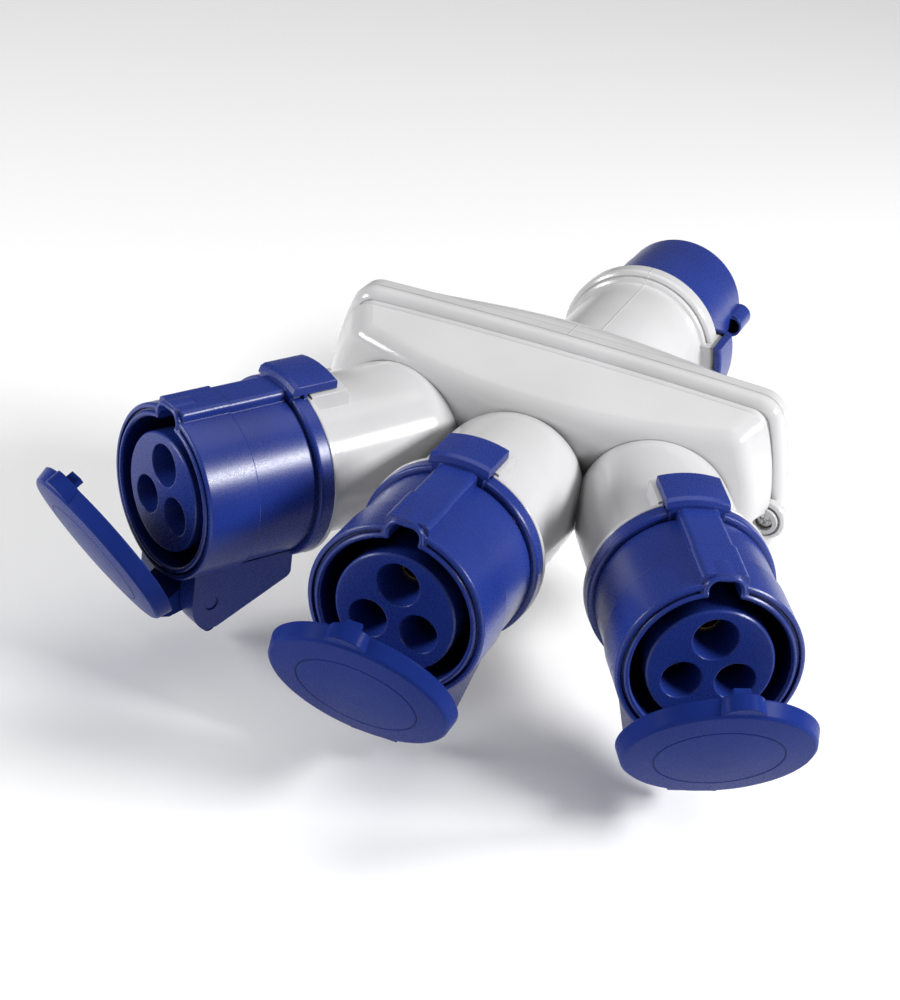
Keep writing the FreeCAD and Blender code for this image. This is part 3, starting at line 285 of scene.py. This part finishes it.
def mould_seam(tree, bump):
    """Fine raised line along the middle plane, where the two sides of the mould met."""
    coordinates = tree.nodes.new("ShaderNodeTexCoord")
    split = tree.nodes.new("ShaderNodeSeparateXYZ")
    tree.links.new(coordinates.outputs["Object"], split.inputs["Vector"])
    away = tree.nodes.new("ShaderNodeMath")
    away.operation = "ABSOLUTE"
    tree.links.new(split.outputs["X"], away.inputs[0])
    line = remapped(tree, away.outputs[0], 0.0, SEAM_HALF_W, 1.0, 0.0)
    line.interpolation_type = "SMOOTHSTEP"
    seam = add_node(tree, "ShaderNodeBump", Strength=1.0, Distance=SEAM_HEIGHT)
    tree.links.new(line.outputs["Result"], seam.inputs["Height"])
    tree.links.new(bump.inputs["Normal"].links[0].from_socket, seam.inputs["Normal"])
    tree.links.new(seam.outputs["Normal"], bump.inputs["Normal"])


def paint_shade_in_hollows(tree, shader, reach, shade):
    """Painted shade: darker colour in grooves, funnels and the roots of tabs, where light hardly
    gets in.
    """
    colour = shader.inputs["Base Color"].links[0].from_socket
    hollow = add_node(tree, "ShaderNodeAmbientOcclusion", Distance=reach)
    hollow.samples = 8
    left = remapped(tree, hollow.outputs["AO"], HOLLOW_DEEP, HOLLOW_OPEN, shade, 1.0)
    dark = tree.nodes.new("ShaderNodeVectorMath")
    dark.operation = "SCALE"
    tree.links.new(colour, dark.inputs[0])
    tree.links.new(left.outputs["Result"], dark.inputs["Scale"])
    tree.links.new(dark.outputs["Vector"], shader.inputs["Base Color"])


def moulded(name, dark, light, rough, specular, edge, grain, grain_depth,
            hollow_reach, hollow_shade, seam=False):
    """Moulded plastic: slow colour drift, fine grain, uneven gloss and painted shade in hollows.
    """
    material, tree, shader = node_material(name)
    slow = object_noise(tree, DRIFT_SCALE, detail=2.0)
    fine = object_noise(tree, grain, detail=3.0)
    tint(tree, shader, spread(tree, slow, 0.0, 1.0), dark, light)
    tree.links.new(spread(tree, fine, *rough), shader.inputs["Roughness"])
    bump = relief(tree, shader, fine, GRAIN_STRENGTH, grain_depth, edge)
    if seam:
        mould_seam(tree, bump)
    paint_shade_in_hollows(tree, shader, hollow_reach, hollow_shade)
    shader.inputs["IOR"].default_value = PLASTIC_IOR
    shader.inputs["Specular IOR Level"].default_value = specular
    return material


def metal(name, dark, light, rough, grain):
    """Bare metal whose colour and gloss vary with a fine grain."""
    material, tree, shader = node_material(name)
    fine = object_noise(tree, grain, detail=5.0)
    tint(tree, shader, spread(tree, fine, 0.0, 1.0), dark, light)
    tree.links.new(spread(tree, fine, *rough), shader.inputs["Roughness"])
    relief(tree, shader, fine, METAL_GRAIN_STRENGTH, METAL_GRAIN_DEPTH, SMALL_EDGE)
    shader.inputs["Metallic"].default_value = 1.0
    return material


def rubber(name):
    """Matt black rubber."""
    material, tree, shader = node_material(name)
    fine = object_noise(tree, RUBBER_GRAIN, detail=3.0)
    tint(tree, shader, spread(tree, fine, 0.0, 1.0), RUBBER_DARK, RUBBER_LIGHT)
    relief(tree, shader, fine, RUBBER_GRAIN_STRENGTH, RUBBER_GRAIN_DEPTH, SMALL_EDGE)
    shader.inputs["Roughness"].default_value = RUBBER_ROUGH
    return material


def dress():
    """Gives each node of the frame its finish, and returns the blue and the grey plastic."""
    blue = moulded("blue_plastic", **BLUE)
    # the lids get a darker copy of the blue, whose darker colour is painted shade
    shaded_lid_blue = moulded("blue_lid_plastic_painted_shade", **SHADED_LID_BLUE)
    grey = moulded("grey_plastic", **GREY)
    seamed_grey = moulded("grey_seamed", **GREY, seam=True)
    brass = metal("brass", **BRASS)
    copper = metal("copper", **COPPER)
    steel = metal("zinc_steel", **ZINC)
    black = rubber("rubber_black")
    finish = {
        "front_shell": grey,
        "rear_shell": seamed_grey,
        "shell_gasket": black,
        "shell_screws": steel,
        "plug_shroud": blue,
        "plug_insert": blue,
        "plug_seal": black,
        "plug_earth_pin": brass,
        "plug_line_pin": brass,
        "plug_neutral_pin": brass,
        "earth_conductor": copper,
        "line_conductor": copper,
        "neutral_conductor": copper,
    }
    per_socket = {
        "elbow": grey,
        "socket_housing": blue,
        "socket_insert": blue,
        "contact_sleeves": brass,
        "socket_gasket": black,
        "lid": shaded_lid_blue,
        "lid_seal": black,
        "hinge_pin": blue,
        "lid_spring": steel,
    }
    for side in LID_JOINTS:
        for piece, material in per_socket.items():
            finish[side + "_" + piece] = material
    for name, node in frame["nodes"].items():
        node.data.materials.clear()
        node.data.materials.append(finish[name])
    return blue, grey


# ---------------------------------------------------------------- places
def socket_frame(joint):
    """Takes millimetres in a socket's own frame to metres in the row frame, by its hinge pin."""
    across = Vector(joint["axis"])
    turn = Matrix.Rotation(math.atan2(across.y, across.x), 4, "Z")
    from_pin = Matrix.Translation((0.0, -PIN_DEPTH, -PIN_Z))
    return Matrix.Translation(joint["pos_m"]) @ turn @ Matrix.Scale(MM, 4) @ from_pin


def lid_frame(joint):
    """The same for what is drawn on the closed lid, which stands open when the part rests."""
    pin = Matrix.Translation(joint["pos_m"])
    closed_angle = joint["range_deg"][0]
    opening = Matrix.Rotation(math.radians(-closed_angle), 4, Vector(joint["axis"]))
    return pin @ opening @ pin.inverted() @ socket_frame(joint)


# ---------------------------------------------------------------- outlines and skins
def meeting(centre_a, reach_a, centre_b, reach_b):
    """Where two circles round points of the x-z plane meet, on the right-hand side."""
    a, b = Vector(centre_a), Vector(centre_b)
    gap = (b - a).length
    along = (reach_a**2 - reach_b**2 + gap**2) / (2 * gap)
    across = math.sqrt(reach_a**2 - along**2)
    way = (b - a) / gap
    side = Vector((-way.y, way.x))
    spots = [a + way * along + side * across, a + way * along - side * across]
    return max(spots, key=lambda p: p.x)


def arc(centre, radius, start, end, steps, inward=False):
    """(point, outward normal) along an arc between two directions in degrees."""
    stations = []
    for i in range(steps + 1):
        angle = math.radians(start + (end - start) * i / steps)
        way = Vector((math.cos(angle), math.sin(angle)))
        stations.append((Vector(centre) + way * radius, -way if inward else way))
    return stations


def body_outline():
    """Stations round the body at the parting plane, clockwise from the top's middle."""
    top_r = (BODY_HALF_W**2 + TOP_BOW**2) / (2 * TOP_BOW)
    top_centre = Vector((0.0, BODY_TOP + TOP_BOW - top_r))
    end_r = (BODY_TOP**2 + END_BOW**2) / (2 * END_BOW)
    end_centre = Vector((BODY_HALF_W + END_BOW - end_r, 0.0))
    low_w = end_centre.x + math.sqrt(end_r**2 - BODY_BOTTOM**2)
    low_r = (low_w**2 + ARCH**2) / (2 * ARCH)
    low_centre = Vector((0.0, BODY_BOTTOM + ARCH - low_r))
    top_ball = meeting(top_centre, top_r - TOP_CORNER_R, end_centre, end_r - TOP_CORNER_R)
    low_ball = meeting(end_centre, end_r - BOTTOM_CORNER_R, low_centre, low_r + BOTTOM_CORNER_R)

    def heading(start, end):
        return math.degrees(math.atan2(end.y - start.y, end.x - start.x))

    top_turn = heading(top_centre, top_ball)
    end_top = heading(end_centre, top_ball)
    end_low = heading(end_centre, low_ball)
    low_turn = heading(low_centre, low_ball)
    right = arc(top_centre, top_r, 90.0, top_turn, LONG_STEPS)
    right += arc(top_ball, TOP_CORNER_R, top_turn, end_top, CORNER_STEPS)[1:]
    right += arc(end_centre, end_r, end_top, end_low, END_STEPS)[1:]
    right += arc(low_ball, BOTTOM_CORNER_R, end_low, low_turn - 180.0, CORNER_STEPS)[1:]
    right += arc(low_centre, low_r, low_turn, 90.0, LONG_STEPS, inward=True)[1:]
    left = [(Vector((-p.x, p.y)), Vector((-n.x, n.y))) for p, n in reversed(right[1:-1])]
    return right + left


def mesh_piece(name, points, faces, material, body):
    """A smooth mesh that rides a body, with its faces turned outward."""
    mesh = bpy.data.meshes.new(name)
    mesh.from_pydata(points, [], faces)
    form = bmesh.new()
    form.from_mesh(mesh)
    bmesh.ops.recalc_face_normals(form, faces=form.faces)
    form.to_mesh(mesh)
    form.free()
    mesh.materials.append(material)
    for face in mesh.polygons:
        face.use_smooth = True
    piece = bpy.data.objects.new(name, mesh)
    bpy.context.scene.collection.objects.link(piece)
    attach(piece, body)


def swept(name, stations, section, place, material, body, closed):
    """Skin through one ring of points for each station, closed on itself or with flat ends."""
    count = len(section)
    points = []
    for station in stations:
        points.extend(place(station, corner) for corner in section)
    faces = []
    last = len(stations) if closed else len(stations) - 1
    for i in range(last):
        near, far = i * count, ((i + 1) % len(stations)) * count
        for j in range(count):
            k = (j + 1) % count
            faces.append((near + j, far + j, far + k, near + k))
    if not closed:
        faces.append(tuple(range(count)))
        faces.append(tuple(range(len(points) - 1, len(points) - count - 1, -1)))
    mesh_piece(name, points, faces, material, body)


# ---------------------------------------------------------------- added pieces
def front_bead(grey):
    """Skin over the front shell's rounded bead, drawn finely.

    A corner of its section is (distance in from the outline, y).
    """
    back_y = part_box("front_shell")[1][1] / MM
    round_y = back_y - BEAD_FLAT
    outer = [(0.0, back_y)]
    inner = [(BEAD_WALL, back_y)]
    for i in range(BEAD_STEPS + 1):
        angle = math.radians(BEAD_TURN * i / BEAD_STEPS)
        across, along = math.cos(angle), math.sin(angle)
        outer_r = BEAD_R + BEAD_LIFT * along
        inner_r = BEAD_R - BEAD_WALL
        outer.append((BEAD_R - outer_r * across, round_y - outer_r * along))
        inner.append((BEAD_R - inner_r * across, round_y - inner_r * along))
    section = outer + inner[::-1]

    def place(station, corner):
        point, normal = station
        at = point - normal * corner[0]
        return Vector((at.x, corner[1], at.y)) * MM

    swept("front_bead", body_outline(), section, place, grey, "body", closed=True)


def add_groove_shade_line(side, joint, dark):
    """Painted shade: a fine near-black line laid in the ring groove of the lid's face."""
    ball_r = (LID_EDGE_R**2 + LID_CROWN**2) / (2 * LID_CROWN)
    face = LID_FACE - LID_CROWN + ball_r - math.sqrt(ball_r**2 - LID_MARK_R**2)
    depth = face + LID_MARK_DEPTH - GROOVE_SHADE_LINE_R / 2
    section = [(-GROOVE_SHADE_LINE_R, 0.0), (0.0, -GROOVE_SHADE_LINE_R), (GROOVE_SHADE_LINE_R, 0.0), (0.0, GROOVE_SHADE_LINE_R)]
    to_row = lid_frame(joint)

    def place(angle, corner):
        radius = LID_MARK_R + corner[0]
        x, z = radius * math.cos(angle), radius * math.sin(angle)
        return to_row @ Vector((x, depth + corner[1], z))

    angles = [math.tau * i / GROOVE_SHADE_STEPS for i in range(GROOVE_SHADE_STEPS)]
    swept(side + "_lid_groove_shade", angles, section, place, dark, joint["child"], closed=True)


def keyway_corner(name, to_row, hand, blue):
    """Filling that rounds one upper corner of the keyway; hand is 1 or -1 for its side."""
    centre = (KEYWAY_HALF_W - KEYWAY_CORNER_R, KEYWAY_TOP - KEYWAY_CORNER_R)
    side_x = KEYWAY_HALF_W + SINK
    top_z = KEYWAY_TOP + SINK
    section = [(side_x, top_z), (centre[0], top_z)]
    section += [(p.x, p.y) for p, _ in arc(centre, KEYWAY_CORNER_R, 90.0, 0.0, SMALL_STEPS)]
    section += [(side_x, centre[1])]

    def place(depth, corner):
        return to_row @ Vector((hand * corner[0], depth, corner[1]))

    swept(name, [KEYWAY_CORNER_FRONT, KEYWAY_L], section, place, blue, "body", closed=False)


def keyway_ridge(name, to_row, blue):
    """The lip's rounded ridge, which runs up, over and down round the keyway's mouth."""
    centre = (KEYWAY_HALF_W - KEYWAY_CORNER_R, KEYWAY_TOP - KEYWAY_CORNER_R)
    reach = KEYWAY_CORNER_R + RIDGE_R
    half = centre[0] + reach
    foot = math.sqrt(LIP_MIDDLE_R**2 - half**2) - RIDGE_ROOT
    path = [(half, foot), (half, (foot + centre[1]) / 2)]
    path += [(p.x, p.y) for p, _ in arc(centre, reach, 0.0, 90.0, SMALL_STEPS)]
    path += [(-x, z) for x, z in reversed(path)]
    curve = bpy.data.curves.new(name, "CURVE")
    curve.dimensions = "3D"
    curve.bevel_depth = RIDGE_R * MM
    curve.bevel_resolution = 4
    curve.use_fill_caps = True
    spline = curve.splines.new("POLY")
    spline.points.add(len(path) - 1)
    for point, (x, z) in zip(spline.points, path):
        point.co = (*(to_row @ Vector((x, RIDGE_R + RIDGE_SETBACK, z))), 1.0)
    spline.use_smooth = True
    curve.materials.append(blue)
    ridge = bpy.data.objects.new(name, curve)
    bpy.context.scene.collection.objects.link(ridge)
    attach(ridge, "body")


def keyway_rim(side, joint, blue):
    """Rounded corners of a socket's keyway, and the ridge round its mouth."""
    to_row = socket_frame(joint)
    keyway_corner(side + "_keyway_corner_a", to_row, 1, blue)
    keyway_corner(side + "_keyway_corner_b", to_row, -1, blue)
    keyway_ridge(side + "_keyway_ridge", to_row, blue)


# ---------------------------------------------------------------- studio
def add_camera():
    """The photograph's camera."""
    data = bpy.data.cameras.new("camera")
    data.lens = CAMERA_LENS
    data.sensor_width = CAMERA_SENSOR
    data.shift_x, data.shift_y = CAMERA_SHIFT
    data.clip_end = CAMERA_SIGHT
    camera = bpy.data.objects.new("camera", data)
    camera.location = CAMERA_AT
    camera.rotation_euler = [math.radians(a) for a in CAMERA_TURN]
    bpy.context.scene.collection.objects.link(camera)
    bpy.context.scene.camera = camera


def add_soft_light(name, at, target, size, power):
    """A rectangular light that faces its target."""
    data = bpy.data.lights.new(name, "AREA")
    data.shape = "RECTANGLE"
    data.size, data.size_y = size
    data.energy = power
    light = bpy.data.objects.new(name, data)
    light.location = at
    light.rotation_euler = (Vector(target) - Vector(at)).to_track_quat("-Z", "Y").to_euler()
    bpy.context.scene.collection.objects.link(light)


def add_floor():
    """Pale floor a little below the part."""
    floor_z = CAD_BOUNDS[0][2] - FLOOR_DROP
    half = FLOOR_HALF
    corners = [(-half, -half), (half, -half), (half, half), (-half, half)]
    mesh = bpy.data.meshes.new("floor")
    mesh.from_pydata([(x, y, floor_z) for x, y in corners], [], [(0, 1, 2, 3)])
    floor = bpy.data.objects.new("floor", mesh)
    bpy.context.scene.collection.objects.link(floor)
    material, _, shader = node_material("floor_white")
    shader.inputs["Base Color"].default_value = FLOOR_COLOUR
    shader.inputs["Roughness"].default_value = FLOOR_ROUGH
    shader.inputs["Specular IOR Level"].default_value = FLOOR_SPECULAR
    shader.inputs["Emission Color"].default_value = WHITE
    shader.inputs["Emission Strength"].default_value = FLOOR_GLOW
    mesh.materials.append(material)


def add_world():
    """Even white light from all round."""
    world = bpy.data.worlds.new("studio")
    world.use_nodes = True
    background = world.node_tree.nodes["Background"]
    background.inputs["Color"].default_value = WHITE
    background.inputs["Strength"].default_value = WORLD_LIGHT
    bpy.context.scene.world = world
    bpy.context.scene.view_settings.view_transform = "Standard"


# ---------------------------------------------------------------- the scene
add_camera()
add_world()
add_floor()
for name, settings in SOFT_LIGHTS.items():
    add_soft_light(name, *settings)
blue_plastic, grey_plastic = dress()
# near-black line material, for painted shade in the lids' ring grooves
groove_shade_material = moulded("painted_groove_shade_blue", **GROOVE_SHADE_BLUE)
front_bead(grey_plastic)
for side, joint in LID_JOINTS.items():
    keyway_rim(side, joint, blue_plastic)
    add_groove_shade_line(side, joint, groove_shade_material)
